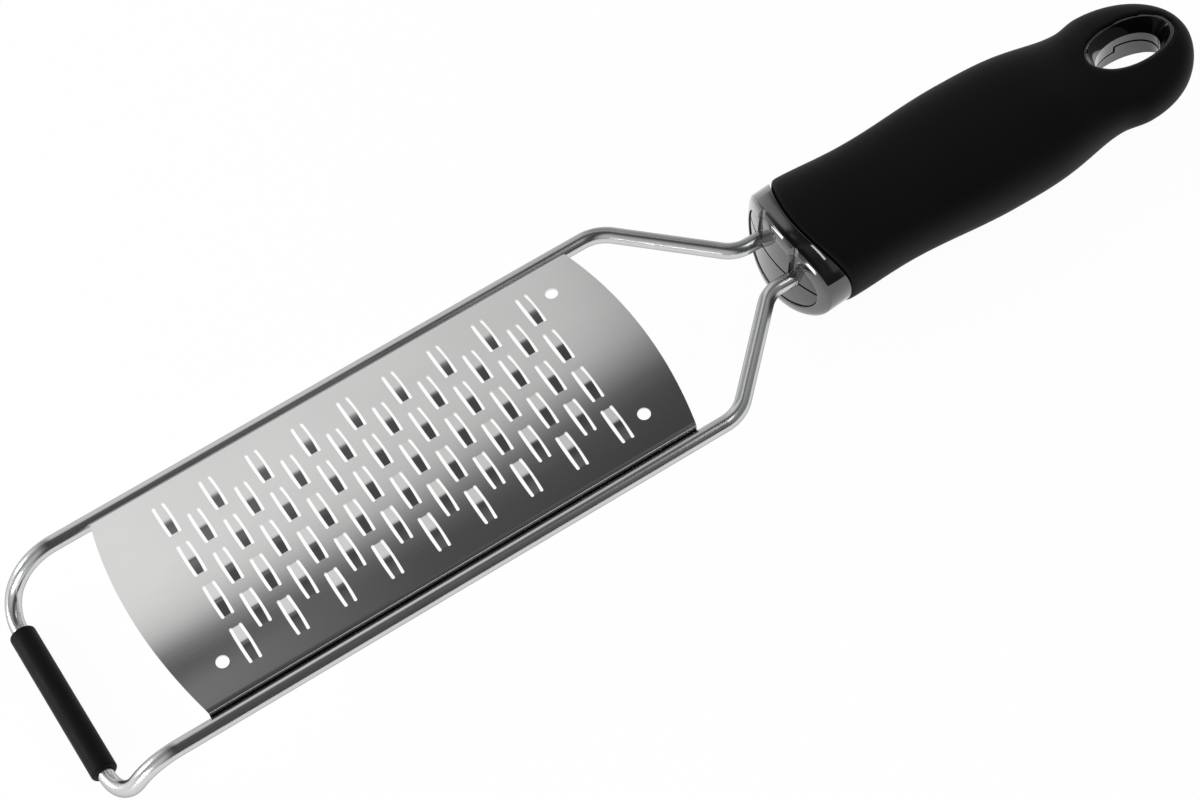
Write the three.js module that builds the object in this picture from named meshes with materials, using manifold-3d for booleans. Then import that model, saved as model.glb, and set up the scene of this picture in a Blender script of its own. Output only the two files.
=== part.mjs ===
// Ribbon grater: an arched, etched steel blade welded into a bent wire frame, with a rubber foot sleeve
// and a soft-grip handle. Millimetres, +Z up, +X from the foot to the handle. The tool lies on a bench at
// z = 0, on its foot sleeve and the belly of its grip, and the origin is under the middle of its length.
import * as THREE from "three";
import { mergeGeometries, mergeVertices } from "three/addons/utils/BufferGeometryUtils.js";
import Module from "manifold-3d";

const wasm = await Module();
wasm.setup();

// Fits: the seam between two pieces that touch, and the open groove between collar and grip.
const seam = 0.3;
const collarGroove = 0.5;

// Wire frame. Widths are taken over the outside of the wires, lengths along the tool between bend corners.
const wireDiameter = 4;
const frameWidth = 67.2;
const footWidth = 63.8;
const foldSetback = 15.8;
const footReach = 10;
const shoulderSetback = 10.5;
const neckReach = 24.4;
const tangSpacing = 14.1;
const tangLength = 62;
const hookLength = 6;
const foldRadius = 14;
const cornerRadius = 8.5;
const shoulderRadius = 10;
const neckRadius = 8;
const hookRadius = 3;

// Blade: length along its flanges, bow of its ends, arch of its sheet and height over the wires' centres.
const bladeLength = 129.6;
const endBow = 3.6;
const sheetThickness = 0.6;
const crownRadius = 235;
const crownHeight = 4.8;
const flangeBelow = 1;
const flangeBendRadius = 1.2;

// Teeth: columns of four and three in turn, each tooth a raised ribbon across a barrel-shaped window.
const toothColumns = 17;
const fullColumnTeeth = 4;
const columnPitch = 6.2;
const rowPitch = 12.94;
const windowLength = 10;
const windowWidth = 3.55;
const windowEndWidth = 3.3;
const ribbonWidth = 1.9;
const ribbonRise = 0.7;
const ribbonThickness = 0.5;
const ribbonRoot = 0.8;

// Locating holes: a pair at the handle end and a single one at the foot end.
const locatorDiameter = 3.2;
const locatorInset = 8.6;
const locatorSpacing = 41.2;

// Foot sleeve.
const sleeveDiameter = 6.5;
const sleeveLength = 43;
const sleeveChamfer = 0.6;

// Handle: it droops from the wires' neck, and its lengths run along its own axis from there.
const handleDroop = 1.6;
const collarReach = 5.8;
const collarLength = 5.5;
const collarSlant = 4.8;
const collarSweep = 4.3;
const collarDrop = 0.8;
const collarInset = 0.05;
const collarBand = 3.1;
const collarBevel = 0.3;
const collarEdge = 0.5;
const plateRecess = 0.35;
const plateCrown = 0.2;
const grooveWidth = 3;
const grooveDepth = 1.1;

// Grip: sections at its front, which sweeps back to the sides, waist, belly, neck and bulb, and the nose.
const frontWidth = 35.5;
const frontHeight = 24.4;
const frontSweep = 5.5;
const waistSpan = 23.8;
const waistWidth = 34;
const waistHeight = 23.2;
const bellySpan = 30;
const bellyWidth = 37.1;
const bellyHeight = 25.5;
const neckSpan = 33.9;
const neckWidth = 31.2;
const neckHeight = 18.6;
const bulbSpan = 7.5;
const bulbWidth = 33.8;
const bulbHeight = 17.6;
const noseLength = 21.5;
const gripEdge = 0.8;
const gripWall = 3;

// Hang hole: an eyelet of the core, flared to both faces, with the grip's lip standing round it.
const eyeletLength = 25.6;
const eyeletWidth = 14.2;
const eyeletRim = 0.5;
const throatLength = 18.2;
const throatWidth = 11;
const throatDepth = 5.8;
const noseWall = 4.3;
const lipStep = 0.5;
const tongueDepth = 2;
const tongueReach = 9.4;
const tongueWall = 1.2;

// Facets.
const wireSides = 12;
const bendSteps = 5;
const crownFacets = 6;
const sleeveSides = 24;
const gripSides = 32;
const coreSides = 24;

// Materials.
const steel = new THREE.MeshStandardMaterial({ color: 0xc4c6c8, metalness: 1, roughness: 0.28 });
const polishedSteel = new THREE.MeshStandardMaterial({ color: 0xd0d2d4, metalness: 1, roughness: 0.15 });
const rubber = new THREE.MeshStandardMaterial({ color: 0x17171a, metalness: 0, roughness: 0.7 });
const softTouch = new THREE.MeshStandardMaterial({ color: 0x121213, metalness: 0, roughness: 0.8 });
const gloss = new THREE.MeshStandardMaterial({ color: 0x2b2b2e, metalness: 0, roughness: 0.08 });

// Places that follow from the sizes above.
const wireRadius = wireDiameter / 2;
const sideY = frameWidth / 2 - wireRadius;
const footY = footWidth / 2 - wireRadius;
const tangY = tangSpacing / 2;
const shoulderX = bladeLength / 2 + shoulderSetback;
const neckX = shoulderX + neckReach;
const foldX = -bladeLength / 2 - foldSetback;
const footX = foldX - footReach;
const droop = THREE.MathUtils.degToRad(handleDroop);
const slant = Math.tan(THREE.MathUtils.degToRad(collarSlant));
const collarRear = collarReach + collarLength;
const gripStart = collarRear + collarGroove;
const waistAt = gripStart + waistSpan;
const bellyAt = waistAt + bellySpan;
const neckAt = bellyAt + neckSpan;
const bulbAt = neckAt + bulbSpan;
const gripEnd = bulbAt + noseLength;
const holeAt = gripEnd - noseWall - eyeletLength / 2;

// A closed geometry as a solid that can be joined and cut, and back.
function solid(geometry) {
  const bare = geometry.clone();
  bare.deleteAttribute("normal");
  bare.deleteAttribute("uv");
  const merged = mergeVertices(bare);
  return new wasm.Manifold(
    new wasm.Mesh({
      numProp: 3,
      vertProperties: new Float32Array(merged.attributes.position.array),
      triVerts: new Uint32Array(merged.index.array),
    }),
  );
}

function geometryOf(body) {
  const mesh = body.getMesh();
  const geometry = new THREE.BufferGeometry();
  geometry.setAttribute("position", new THREE.BufferAttribute(new Float32Array(mesh.vertProperties), 3));
  geometry.setIndex(new THREE.BufferAttribute(new Uint32Array(mesh.triVerts), 1));
  geometry.computeVertexNormals();
  return geometry;
}

function piece(name, geometry, material) {
  const mesh = new THREE.Mesh(geometry, material);
  mesh.name = name;
  return mesh;
}

// Points of an arc, both ends included.
function arc(centreX, centreY, radius, from, to, steps) {
  const points = [];
  for (let i = 0; i <= steps; i += 1) {
    const angle = from + ((to - from) * i) / steps;
    points.push(new THREE.Vector2(centreX + radius * Math.cos(angle), centreY + radius * Math.sin(angle)));
  }
  return points;
}

// A regular outline with a flat at the bottom and the top.
function polygon(radius, sides) {
  const step = (2 * Math.PI) / sides;
  return new THREE.Shape(arc(0, 0, radius, step / 2, 2 * Math.PI - step / 2, sides - 1));
}

// A prism of an outline drawn in Y and Z, extruded along X about the middle of its length.
function prismAlongX(outline, length) {
  const geometry = new THREE.ExtrudeGeometry(outline, { depth: length, bevelEnabled: false });
  geometry.translate(0, 0, -length / 2);
  const turn = new THREE.Matrix4().makeBasis(
    new THREE.Vector3(0, 1, 0),
    new THREE.Vector3(0, 0, 1),
    new THREE.Vector3(1, 0, 0),
  );
  return geometry.applyMatrix4(turn);
}

// A prism of an outline drawn in X and Y, standing between two heights.
function prismUp(outline, from, to) {
  const geometry = new THREE.ExtrudeGeometry(outline, { depth: to - from, bevelEnabled: false });
  return geometry.translate(0, 0, from);
}

// An oval in a plane across the handle. Power 2 is an ellipse, a higher one is squarer.
function oval(width, height, sides, power = 2) {
  const points = [];
  for (let i = 0; i < sides; i += 1) {
    const angle = ((i + 0.5) * 2 * Math.PI) / sides;
    const across = Math.sign(Math.cos(angle)) * Math.abs(Math.cos(angle)) ** (2 / power);
    const up = Math.sign(Math.sin(angle)) * Math.abs(Math.sin(angle)) ** (2 / power);
    points.push(new THREE.Vector2((across * width) / 2, (up * height) / 2));
  }
  return points;
}

// A skin through rings of points that follow one another along +X, closed by a point at each end.
function loft(rings, start, end) {
  const sides = rings[0].length;
  const places = rings.flat().concat([start, end]);
  const index = [];
  const startPoint = places.length - 2;
  const endPoint = places.length - 1;
  const lastRing = (rings.length - 1) * sides;
  for (let j = 0; j < sides; j += 1) {
    const k = (j + 1) % sides;
    for (let ring = 0; ring < lastRing; ring += sides) {
      index.push(ring + j, ring + k, ring + sides + k);
      index.push(ring + j, ring + sides + k, ring + sides + j);
    }
    index.push(startPoint, k, j);
    index.push(endPoint, lastRing + j, lastRing + k);
  }
  const geometry = new THREE.BufferGeometry().setFromPoints(places);
  geometry.setIndex(index);
  return geometry;
}

// Straight runs of wire joined by round bends. Its sections stand at the ends and along the bends only.
class WireRun extends THREE.Curve {
  constructor(corners, radii) {
    super();
    const last = corners.length - 1;
    this.places = [corners[0]];
    this.directions = [corners[1].clone().sub(corners[0]).normalize()];
    for (let i = 1; i < last; i += 1) {
      const before = corners[i].clone().sub(corners[i - 1]).normalize();
      const after = corners[i + 1].clone().sub(corners[i]).normalize();
      const turn = before.angleTo(after);
      const inward = after.clone().addScaledVector(before, -Math.cos(turn)).normalize();
      const radius = radii[i - 1];
      const start = corners[i].clone().addScaledVector(before, -radius * Math.tan(turn / 2));
      for (let s = 0; s <= bendSteps; s += 1) {
        const angle = (turn * s) / bendSteps;
        const place = start.clone().addScaledVector(before, radius * Math.sin(angle));
        place.addScaledVector(inward, radius * (1 - Math.cos(angle)));
        const direction = before.clone().multiplyScalar(Math.cos(angle));
        direction.addScaledVector(inward, Math.sin(angle));
        this.places.push(place);
        this.directions.push(direction);
      }
    }
    this.places.push(corners[last]);
    this.directions.push(corners[last].clone().sub(corners[last - 1]).normalize());
  }

  get runs() {
    return this.places.length - 1;
  }

  getUtoTmapping(u) {
    return u;
  }

  getPoint(t, target = new THREE.Vector3()) {
    const at = Math.min(Math.floor(t * this.runs), this.runs - 1);
    return target.lerpVectors(this.places[at], this.places[at + 1], t * this.runs - at);
  }

  getTangent(t, target = new THREE.Vector3()) {
    return target.copy(this.directions[Math.round(t * this.runs)]);
  }
}

// The grip's width, height and sweep at each of its sections, without the rounded nose.
function gripSpan(from, to, steps, fullness) {
  const sections = [];
  for (let i = 1; i <= steps; i += 1) {
    const along = i / steps;
    const blend = 0.5 - 0.5 * Math.cos(Math.PI * along ** fullness);
    sections.push({
      at: from.at + (to.at - from.at) * along,
      width: from.width + (to.width - from.width) * blend,
      height: from.height + (to.height - from.height) * blend,
      sweep: from.sweep + (to.sweep - from.sweep) * along,
    });
  }
  return sections;
}

function gripBody() {
  const front = { at: gripStart, width: frontWidth, height: frontHeight, sweep: frontSweep };
  const waist = { at: waistAt, width: waistWidth, height: waistHeight, sweep: 0 };
  const belly = { at: bellyAt, width: bellyWidth, height: bellyHeight, sweep: 0 };
  const neck = { at: neckAt, width: neckWidth, height: neckHeight, sweep: 0 };
  const bulb = { at: bulbAt, width: bulbWidth, height: bulbHeight, sweep: 0 };
  return [
    front,
    ...gripSpan(front, waist, 3, 1),
    ...gripSpan(waist, belly, 4, 1),
    ...gripSpan(belly, neck, 5, 1.7),
    ...gripSpan(neck, bulb, 3, 1),
  ];
}

// The nose rounds off to nothing: round in plan, blunter in side view.
function gripNose(inset) {
  const steps = 7;
  const sections = [];
  for (let i = 1; i < steps; i += 1) {
    const along = Math.sin((Math.PI / 2) * (i / steps));
    sections.push({
      at: bulbAt + (noseLength - inset) * along,
      width: (bulbWidth - 2 * inset) * (1 - along ** 2) ** (1 / 2),
      height: (bulbHeight - 2 * inset) * (1 - along ** 3.3) ** (1 / 3.3),
      sweep: 0,
    });
  }
  return sections;
}

// A section as a ring that its sweep carries back towards the sides.
function sectionRing({ at, width, height, sweep }, sides, power) {
  return oval(width, height, sides, power).map(
    (p) => new THREE.Vector3(at + sweep * (p.x / (frontWidth / 2)) ** 2, p.x, p.y),
  );
}

function inset(section, by) {
  return { ...section, width: section.width - 2 * by, height: section.height - 2 * by };
}

function gripSkin() {
  const [front, ...rest] = gripBody();
  const rounded = { ...front, at: front.at + gripEdge };
  const sections = [inset(front, gripWall), inset(front, gripEdge), rounded, ...rest, ...gripNose(0)];
  const rings = sections.map((section) => sectionRing(section, gripSides, 2.4));
  return loft(rings, new THREE.Vector3(gripStart, 0, 0), new THREE.Vector3(gripEnd, 0, 0));
}

// The bench under the grip: how far the wires' plane stands above the lowest point of the drooping handle.
const toHandle = new THREE.Matrix4().makeRotationY(droop).setPosition(neckX, 0, 0);
const laidGrip = gripSkin().applyMatrix4(toHandle);
laidGrip.computeBoundingBox();
const benchDrop = -laidGrip.boundingBox.min.z;
const footDrop = benchDrop - (sleeveDiameter / 2) * Math.cos(Math.PI / sleeveSides);

// The wire from one tang, round the foot, to the other. More tang makes the seat in the core longer.
function wireRun(extra) {
  const alongHandle = new THREE.Vector3(Math.cos(droop), 0, -Math.sin(droop));
  const half = (side) => {
    const neck = new THREE.Vector3(neckX, side * tangY, 0);
    const hook = neck.clone().addScaledVector(alongHandle, tangLength);
    return [
      hook.clone().add(new THREE.Vector3(0, side * (hookLength + extra), 0)),
      hook,
      neck,
      new THREE.Vector3(shoulderX, side * sideY, 0),
      new THREE.Vector3(foldX, side * sideY, 0),
      new THREE.Vector3(footX, side * footY, -footDrop),
    ];
  };
  const radii = [hookRadius, neckRadius, shoulderRadius, foldRadius, cornerRadius];
  return new WireRun([...half(-1), ...half(1).reverse()], [...radii, ...radii.toReversed()]);
}

function wire(radius, extra) {
  const extrudePath = wireRun(extra);
  return new THREE.ExtrudeGeometry(polygon(radius, wireSides), { steps: extrudePath.runs, extrudePath });
}

// Blade sheet: crown, bends and flanges in one outline, trimmed in plan by its bowed ends.
const flangeY = sideY - wireRadius - seam;
const crownCentre = crownHeight - crownRadius;
const bendY = flangeY - flangeBendRadius;
const bendZ = crownCentre + Math.sqrt((crownRadius - flangeBendRadius) ** 2 - bendY ** 2);
const bendAngle = Math.atan2(bendZ - crownCentre, bendY);

function sheetFace(inset) {
  const bend = flangeBendRadius - inset;
  const bendFacets = 3;
  return [
    new THREE.Vector2(flangeY - inset, -flangeBelow),
    ...arc(bendY, bendZ, bend, 0, bendAngle, bendFacets).slice(0, -1),
    ...arc(0, crownCentre, crownRadius - inset, bendAngle, Math.PI - bendAngle, crownFacets),
    ...arc(-bendY, bendZ, bend, Math.PI - bendAngle, Math.PI, bendFacets).slice(1),
    new THREE.Vector2(inset - flangeY, -flangeBelow),
  ];
}

function bladePlan() {
  const radius = (flangeY ** 2 + endBow ** 2) / (2 * endBow);
  const spread = Math.asin(flangeY / radius);
  const centre = bladeLength / 2 + endBow - radius;
  const handleEnd = arc(centre, 0, radius, -spread, spread, 14);
  const footEnd = arc(-centre, 0, radius, Math.PI - spread, Math.PI + spread, 14);
  return new THREE.Shape([...handleEnd, ...footEnd]);
}

// Tooth centres: x along the blade, and y as a length along the arched sheet.
function teeth() {
  const places = [];
  for (let column = 0; column < toothColumns; column += 1) {
    const count = column % 2 === 0 ? fullColumnTeeth : fullColumnTeeth - 1;
    for (let row = 0; row < count; row += 1) {
      const x = (column - (toothColumns - 1) / 2) * columnPitch;
      places.push(new THREE.Vector2(x, (row - (count - 1) / 2) * rowPitch));
    }
  }
  return places;
}

function toothWindow({ x, y }) {
  const across = crownRadius * Math.sin(y / crownRadius);
  const outline = new THREE.Shape([
    new THREE.Vector2(x - windowEndWidth / 2, across - windowLength / 2),
    new THREE.Vector2(x + windowEndWidth / 2, across - windowLength / 2),
    new THREE.Vector2(x + windowWidth / 2, across),
    new THREE.Vector2(x + windowEndWidth / 2, across + windowLength / 2),
    new THREE.Vector2(x - windowEndWidth / 2, across + windowLength / 2),
    new THREE.Vector2(x - windowWidth / 2, across),
  ]);
  return prismUp(outline, -flangeBelow, crownHeight + ribbonRise);
}

// A ribbon: a strip pushed up to a low ridge between the two ends of its window, rooted in the sheet there.
function ribbon({ x, y }) {
  const half = windowLength / 2;
  const along = [-half - ribbonRoot, -half, 0, half, half + ribbonRoot];
  const face = (offset) =>
    along.map((v) => {
      const rise = ribbonRise * Math.max(0, 1 - Math.abs(v) / half);
      const radius = crownRadius - sheetThickness / 2 + rise + offset;
      const angle = (y + v) / crownRadius;
      return new THREE.Vector2(radius * Math.sin(angle), crownCentre + radius * Math.cos(angle));
    });
  const outline = new THREE.Shape([...face(-ribbonThickness / 2), ...face(ribbonThickness / 2).reverse()]);
  return prismAlongX(outline, ribbonWidth).translate(x, 0, 0);
}

function locatorHoles() {
  const x = bladeLength / 2 - locatorInset;
  const y = locatorSpacing / 2;
  const places = [
    [x, y],
    [x, -y],
    [-x, -y],
  ];
  const hole = prismUp(polygon(locatorDiameter / 2, 16), -flangeBelow, crownHeight + ribbonRise);
  return places.map(([atX, atY]) => hole.clone().translate(atX, atY, 0));
}

function blade() {
  const section = new THREE.Shape([...sheetFace(0), ...sheetFace(sheetThickness).reverse()]);
  const sheet = solid(prismAlongX(section, bladeLength + 4 * endBow));
  const plan = solid(prismUp(bladePlan(), -2 * flangeBelow, crownHeight + ribbonRise));
  const cuts = solid(mergeGeometries([...teeth().map(toothWindow), ...locatorHoles()]));
  const ribbons = solid(mergeGeometries(teeth().map(ribbon)));
  return geometryOf(sheet.intersect(plan).subtract(cuts).add(ribbons));
}

// Foot sleeve: a tube with chamfered ends, turned about the foot bar.
function footSleeve() {
  const outer = sleeveDiameter / 2;
  const bore = wireRadius + seam;
  const half = sleeveLength / 2;
  const profile = [
    new THREE.Vector2(bore, -half),
    new THREE.Vector2(outer - sleeveChamfer, -half),
    new THREE.Vector2(outer, -half + sleeveChamfer),
    new THREE.Vector2(outer, half - sleeveChamfer),
    new THREE.Vector2(outer - sleeveChamfer, half),
    new THREE.Vector2(bore, half),
    new THREE.Vector2(bore, -half),
  ];
  return new THREE.LatheGeometry(profile, sleeveSides, Math.PI / sleeveSides);
}

// Collar: a ring whose bevelled front face leans back a little towards the top and sits lower than its
// rear. Both its faces sweep back to the sides.
const collarWidth = frontWidth - 2 * collarInset;
const collarHeight = frontHeight - 2 * collarInset;
const openingWidth = collarWidth - 2 * collarBand;
const openingHeight = collarHeight - 2 * collarBand;

function frontAt(y, z) {
  return collarReach + z * slant + collarSweep * (y / (collarWidth / 2)) ** 2;
}

function leaningRing(behind, width, height, sides) {
  return oval(width, height, sides, 2.2).map(
    (p) => new THREE.Vector3(frontAt(p.x, p.y) + behind, p.x, p.y - collarDrop),
  );
}

function rearRing(at, width, height, sides) {
  return sectionRing({ at, width, height, sweep: frontSweep }, sides, 2.2);
}

// Two shallow half-round grooves in the front face, from each wire up to the collar's top edge.
function wireGrooves() {
  const radius = grooveWidth / 2;
  const length = collarHeight;
  const lean = Math.atan(slant);
  return [-tangY, tangY].map((y) => {
    const groove = new THREE.CylinderGeometry(radius, radius, length, wireSides);
    groove.rotateX(Math.PI / 2);
    groove.translate(grooveDepth - radius, 0, length / 2);
    groove.rotateY(lean);
    return groove.translate(frontAt(y, collarDrop), y, 0);
  });
}

function collar() {
  const bevelWidth = collarWidth - 2 * collarEdge;
  const bevelHeight = collarHeight - 2 * collarEdge;
  const outside = loft(
    [
      leaningRing(0, openingWidth - 2 * collarEdge, openingHeight - 2 * collarEdge, gripSides),
      leaningRing(collarBevel, bevelWidth, bevelHeight, gripSides),
      leaningRing(collarBevel + collarEdge, collarWidth, collarHeight, gripSides),
      rearRing(collarRear, collarWidth, collarHeight, gripSides),
      rearRing(collarRear, openingWidth - 2 * collarEdge, openingHeight - 2 * collarEdge, gripSides),
    ],
    new THREE.Vector3(collarReach, 0, -collarDrop),
    new THREE.Vector3(collarRear, 0, 0),
  );
  const opening = loft(
    [
      leaningRing(-collarLength, openingWidth, openingHeight, coreSides),
      leaningRing(plateRecess, openingWidth, openingHeight, coreSides),
      rearRing(collarRear + seam / 2, openingWidth, openingHeight, coreSides),
      rearRing(collarRear + collarLength, openingWidth, openingHeight, coreSides),
    ],
    new THREE.Vector3(collarReach - collarLength, 0, -collarDrop),
    new THREE.Vector3(collarRear + collarLength, 0, 0),
  );
  const ring = solid(outside).subtract(solid(opening));
  return geometryOf(ring.subtract(solid(mergeGeometries(wireGrooves()))));
}

// Core: a crowned front plate, a plug through the collar, a shoulder behind it and a body inside the grip.
function coreSkin(margin) {
  const plateWidth = openingWidth - 2 * seam;
  const plateHeight = openingHeight - 2 * seam;
  const dome = [0.3, 0.65, 1].map((share) => {
    const behind = plateRecess - plateCrown * (1 - share ** 2);
    return leaningRing(behind, plateWidth * share, plateHeight * share, coreSides);
  });
  const wall = gripWall - margin;
  const body = gripBody().filter(({ at }) => at < bulbAt);
  const sections = [...body.map((section) => inset(section, wall)), ...gripNose(wall)];
  return loft(
    [
      ...dome,
      rearRing(collarRear + seam / 2, plateWidth, plateHeight, coreSides),
      rearRing(collarRear + seam, frontWidth - 2 * wall, frontHeight - 2 * wall, coreSides),
      ...sections.map((section) => sectionRing(section, coreSides, 2.2)),
    ],
    new THREE.Vector3(collarReach + plateRecess - plateCrown, 0, -collarDrop),
    new THREE.Vector3(gripEnd - wall, 0, 0),
  );
}

// An upright oval plug at the hang hole, tapering from each of its levels to the next.
function holePlug(levels) {
  const rings = levels.map(({ at, length, width }) =>
    oval(length, width, coreSides, 2).map((p) => new THREE.Vector3(at, p.x, p.y)),
  );
  const first = levels[0].at;
  const last = levels[levels.length - 1].at;
  const plug = loft(rings, new THREE.Vector3(first, 0, 0), new THREE.Vector3(last, 0, 0));
  const stand = new THREE.Matrix4().makeBasis(
    new THREE.Vector3(0, 0, 1),
    new THREE.Vector3(1, 0, 0),
    new THREE.Vector3(0, 1, 0),
  );
  return plug.applyMatrix4(stand).translate(holeAt, 0, 0);
}

// The eyelet ends one lip's step under the grip's skin, above and below.
function eyelet() {
  const level = (at) => ({ at, length: eyeletLength, width: eyeletWidth });
  const post = solid(holePlug([level(-bulbHeight), level(bulbHeight)]));
  return post.intersect(solid(coreSkin(gripWall - lipStep)));
}

function eyeletBore() {
  const throat = (at) => ({ at, length: throatLength, width: throatWidth });
  const rim = (at) => ({ at, length: eyeletLength - 2 * eyeletRim, width: eyeletWidth - 2 * eyeletRim });
  const crest = bulbHeight / 2 - lipStep;
  const below = [rim(-bulbHeight), rim(-crest), throat(-throatDepth / 2)];
  const above = [throat(throatDepth / 2), rim(crest), rim(bulbHeight)];
  return holePlug([...below, ...above]);
}

function lipBore() {
  const level = (at) => ({ at, length: eyeletLength + 2 * seam, width: eyeletWidth + 2 * seam });
  return holePlug([level(-bulbHeight), level(bulbHeight)]);
}

// A tongue of the upper half that reaches down inside the eyelet, on the grip's side of the hang hole.
function tongue(gap) {
  const level = (at) => ({
    at,
    length: eyeletLength - 2 * tongueWall - gap,
    width: eyeletWidth - 2 * tongueWall - gap,
  });
  const plug = solid(holePlug([level(gap / 2 - tongueDepth), level(tongueDepth)]));
  const gripSide = new THREE.BoxGeometry(2 * eyeletLength, eyeletWidth, 2 * bulbHeight);
  gripSide.translate(holeAt - throatLength / 2 + tongueReach - gap / 2 - eyeletLength, 0, 0);
  return plug.intersect(solid(gripSide));
}

// All that lies above the core's parting plane, and the tongue.
function upperSide(gap) {
  const half = new THREE.BoxGeometry(2 * gripEnd, bellyWidth, bellyHeight);
  half.translate(0, 0, (bellyHeight + gap) / 2);
  return solid(half).add(tongue(gap));
}

function coreHalves() {
  const fromHandle = toHandle.clone().invert();
  const seat = solid(wire(wireRadius + seam, seam).applyMatrix4(fromHandle));
  const body = solid(coreSkin(0)).add(eyelet()).subtract(solid(eyeletBore())).subtract(seat);
  const grooves = solid(mergeGeometries(wireGrooves()));
  return {
    upper: geometryOf(body.intersect(upperSide(seam)).subtract(grooves)),
    lower: geometryOf(body.subtract(upperSide(-seam))),
  };
}

function softGrip() {
  const cavity = solid(coreSkin(seam));
  return geometryOf(solid(gripSkin()).subtract(cavity).subtract(solid(lipBore())));
}

// Assembly.
const tool = new THREE.Group();

const sleeve = piece("foot_sleeve", footSleeve(), rubber);
sleeve.position.set(footX, 0, -footDrop);
tool.add(piece("wire_frame", wire(wireRadius, 0), polishedSteel));
tool.add(piece("grater_blade", blade(), steel));
tool.add(sleeve);

const handle = new THREE.Group();
const core = coreHalves();
handle.applyMatrix4(toHandle);
handle.add(piece("collar", collar(), gloss));
handle.add(piece("core_upper", core.upper, gloss));
handle.add(piece("core_lower", core.lower, gloss));
handle.add(piece("soft_grip", softGrip(), softTouch));
tool.add(handle);

const extent = new THREE.Box3().setFromObject(tool, true);
tool.position.set(-(extent.min.x + extent.max.x) / 2, 0, -extent.min.z);

const grater = new THREE.Group();
grater.add(tool);

export default grater;
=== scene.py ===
import math

import bmesh
import bpy
import numpy as np
from mathutils import Matrix, Vector, geometry


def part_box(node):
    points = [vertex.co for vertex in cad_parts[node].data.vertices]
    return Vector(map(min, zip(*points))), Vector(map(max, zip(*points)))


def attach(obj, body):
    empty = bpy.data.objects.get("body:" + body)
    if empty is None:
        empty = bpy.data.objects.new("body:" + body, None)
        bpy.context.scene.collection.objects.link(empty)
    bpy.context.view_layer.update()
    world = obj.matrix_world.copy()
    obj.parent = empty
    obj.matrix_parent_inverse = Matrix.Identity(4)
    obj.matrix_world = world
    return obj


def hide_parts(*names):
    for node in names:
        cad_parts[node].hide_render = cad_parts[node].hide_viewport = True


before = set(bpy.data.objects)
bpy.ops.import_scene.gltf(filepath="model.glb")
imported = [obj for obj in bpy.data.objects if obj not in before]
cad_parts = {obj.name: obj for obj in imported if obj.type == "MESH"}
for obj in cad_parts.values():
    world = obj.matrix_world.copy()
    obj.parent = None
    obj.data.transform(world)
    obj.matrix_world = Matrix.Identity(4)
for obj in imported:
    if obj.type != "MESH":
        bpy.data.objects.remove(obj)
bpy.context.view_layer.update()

# Lengths are in millimetres, and MM turns them into metres.
MM = 0.001

# The gap round the core under the grip, and the finer one round the blade, the front plate and the wire.
SEAM = 0.3
TOUCH = 0.05

# Wire frame. The radii are those of the hook, neck, shoulder, fold and foot bends.
WIRE_RADIUS = 2.0
FRAME_WIDTH = 67.2
FOOT_WIDTH = 63.8
FOLD_SETBACK = 15.8
FOOT_REACH = 10.0
SHOULDER_SETBACK = 10.5
NECK_REACH = 24.4
TANG_SPACING = 14.1
TANG_LENGTH = 62.0
HOOK_LENGTH = 6.0
BEND_RADII = [3.0, 8.0, 10.0, 14.0, 8.5]

# Blade and teeth. A window's and a ribbon's width is the one at the middle, and END the one at the ends.
BLADE_LENGTH = 129.6
END_BOW = 3.6
SHEET = 0.6
CROWN_RADIUS = 235.0
CROWN_HEIGHT = 4.8
FLANGE_BELOW = 1.0
FLANGE_BEND = 1.2
COLUMNS = 17
FULL_COLUMN = 4
COLUMN_PITCH = 6.2
ROW_PITCH = 12.94
WINDOW_LENGTH = 10.0
WINDOW_WIDTH = 3.52
WINDOW_END = 3.24
RIBBON_WIDTH = 2.04
RIBBON_END = 1.72
RIBBON_RISE = 0.7
RIBBON_RIDGE = 1.2
RIBBON_LAND = 0.3
LOCATOR_RADIUS = 1.6
LOCATOR_INSET = 8.6
LOCATOR_SPACING = 41.2

# Foot sleeve, with a slack round the bar and rolled ends.
SLEEVE_RADIUS = 3.22
SLEEVE_LENGTH = 43.0
SLEEVE_SLACK = 0.08
SLEEVE_ROLL = 0.7

# Collar and front plate.
DROOP = math.radians(1.6)
COLLAR_REACH = 5.8
COLLAR_REAR = 11.3
COLLAR_SLANT = math.tan(math.radians(4.8))
COLLAR_SWEEP = 4.3
COLLAR_DROP = 0.8
COLLAR_WIDTH = 35.4
COLLAR_HEIGHT = 24.3
COLLAR_BAND = 3.1
COLLAR_LIP = 0.25
PLATE_RECESS = 0.35
PLATE_CROWN = 0.2
PLATE_EDGE = 0.35
GROOVE_RADIUS = 1.5
GROOVE_DEPTH = 1.1

# Grip sections: place along the handle, width, height and how far the section sweeps back at its sides.
GRIP_START = 11.8
GRIP_EDGE = 0.8
GRIP_WALL = 3.0
FRONT_SWEEP = 5.5
FRONT = (GRIP_START, 35.5, 24.4, FRONT_SWEEP)
WAIST = (GRIP_START + 23.8, 34.0, 23.2, 0.0)
BELLY = (WAIST[0] + 30.0, 37.1, 25.5, 0.0)
NECK = (BELLY[0] + 33.9, 31.2, 18.6, 0.0)
BULB = (NECK[0] + 7.5, 33.8, 17.6, 0.0)
NOSE = 21.5
GRIP_END = BULB[0] + NOSE

# Powers of the ovals, where 2 is an ellipse: sections of the grip, sections of the collar and core, and the
# nose seen from its side.
GRIP_POWER = 2.4
CORE_POWER = 2.2
NOSE_POWER = 3.3

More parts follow.
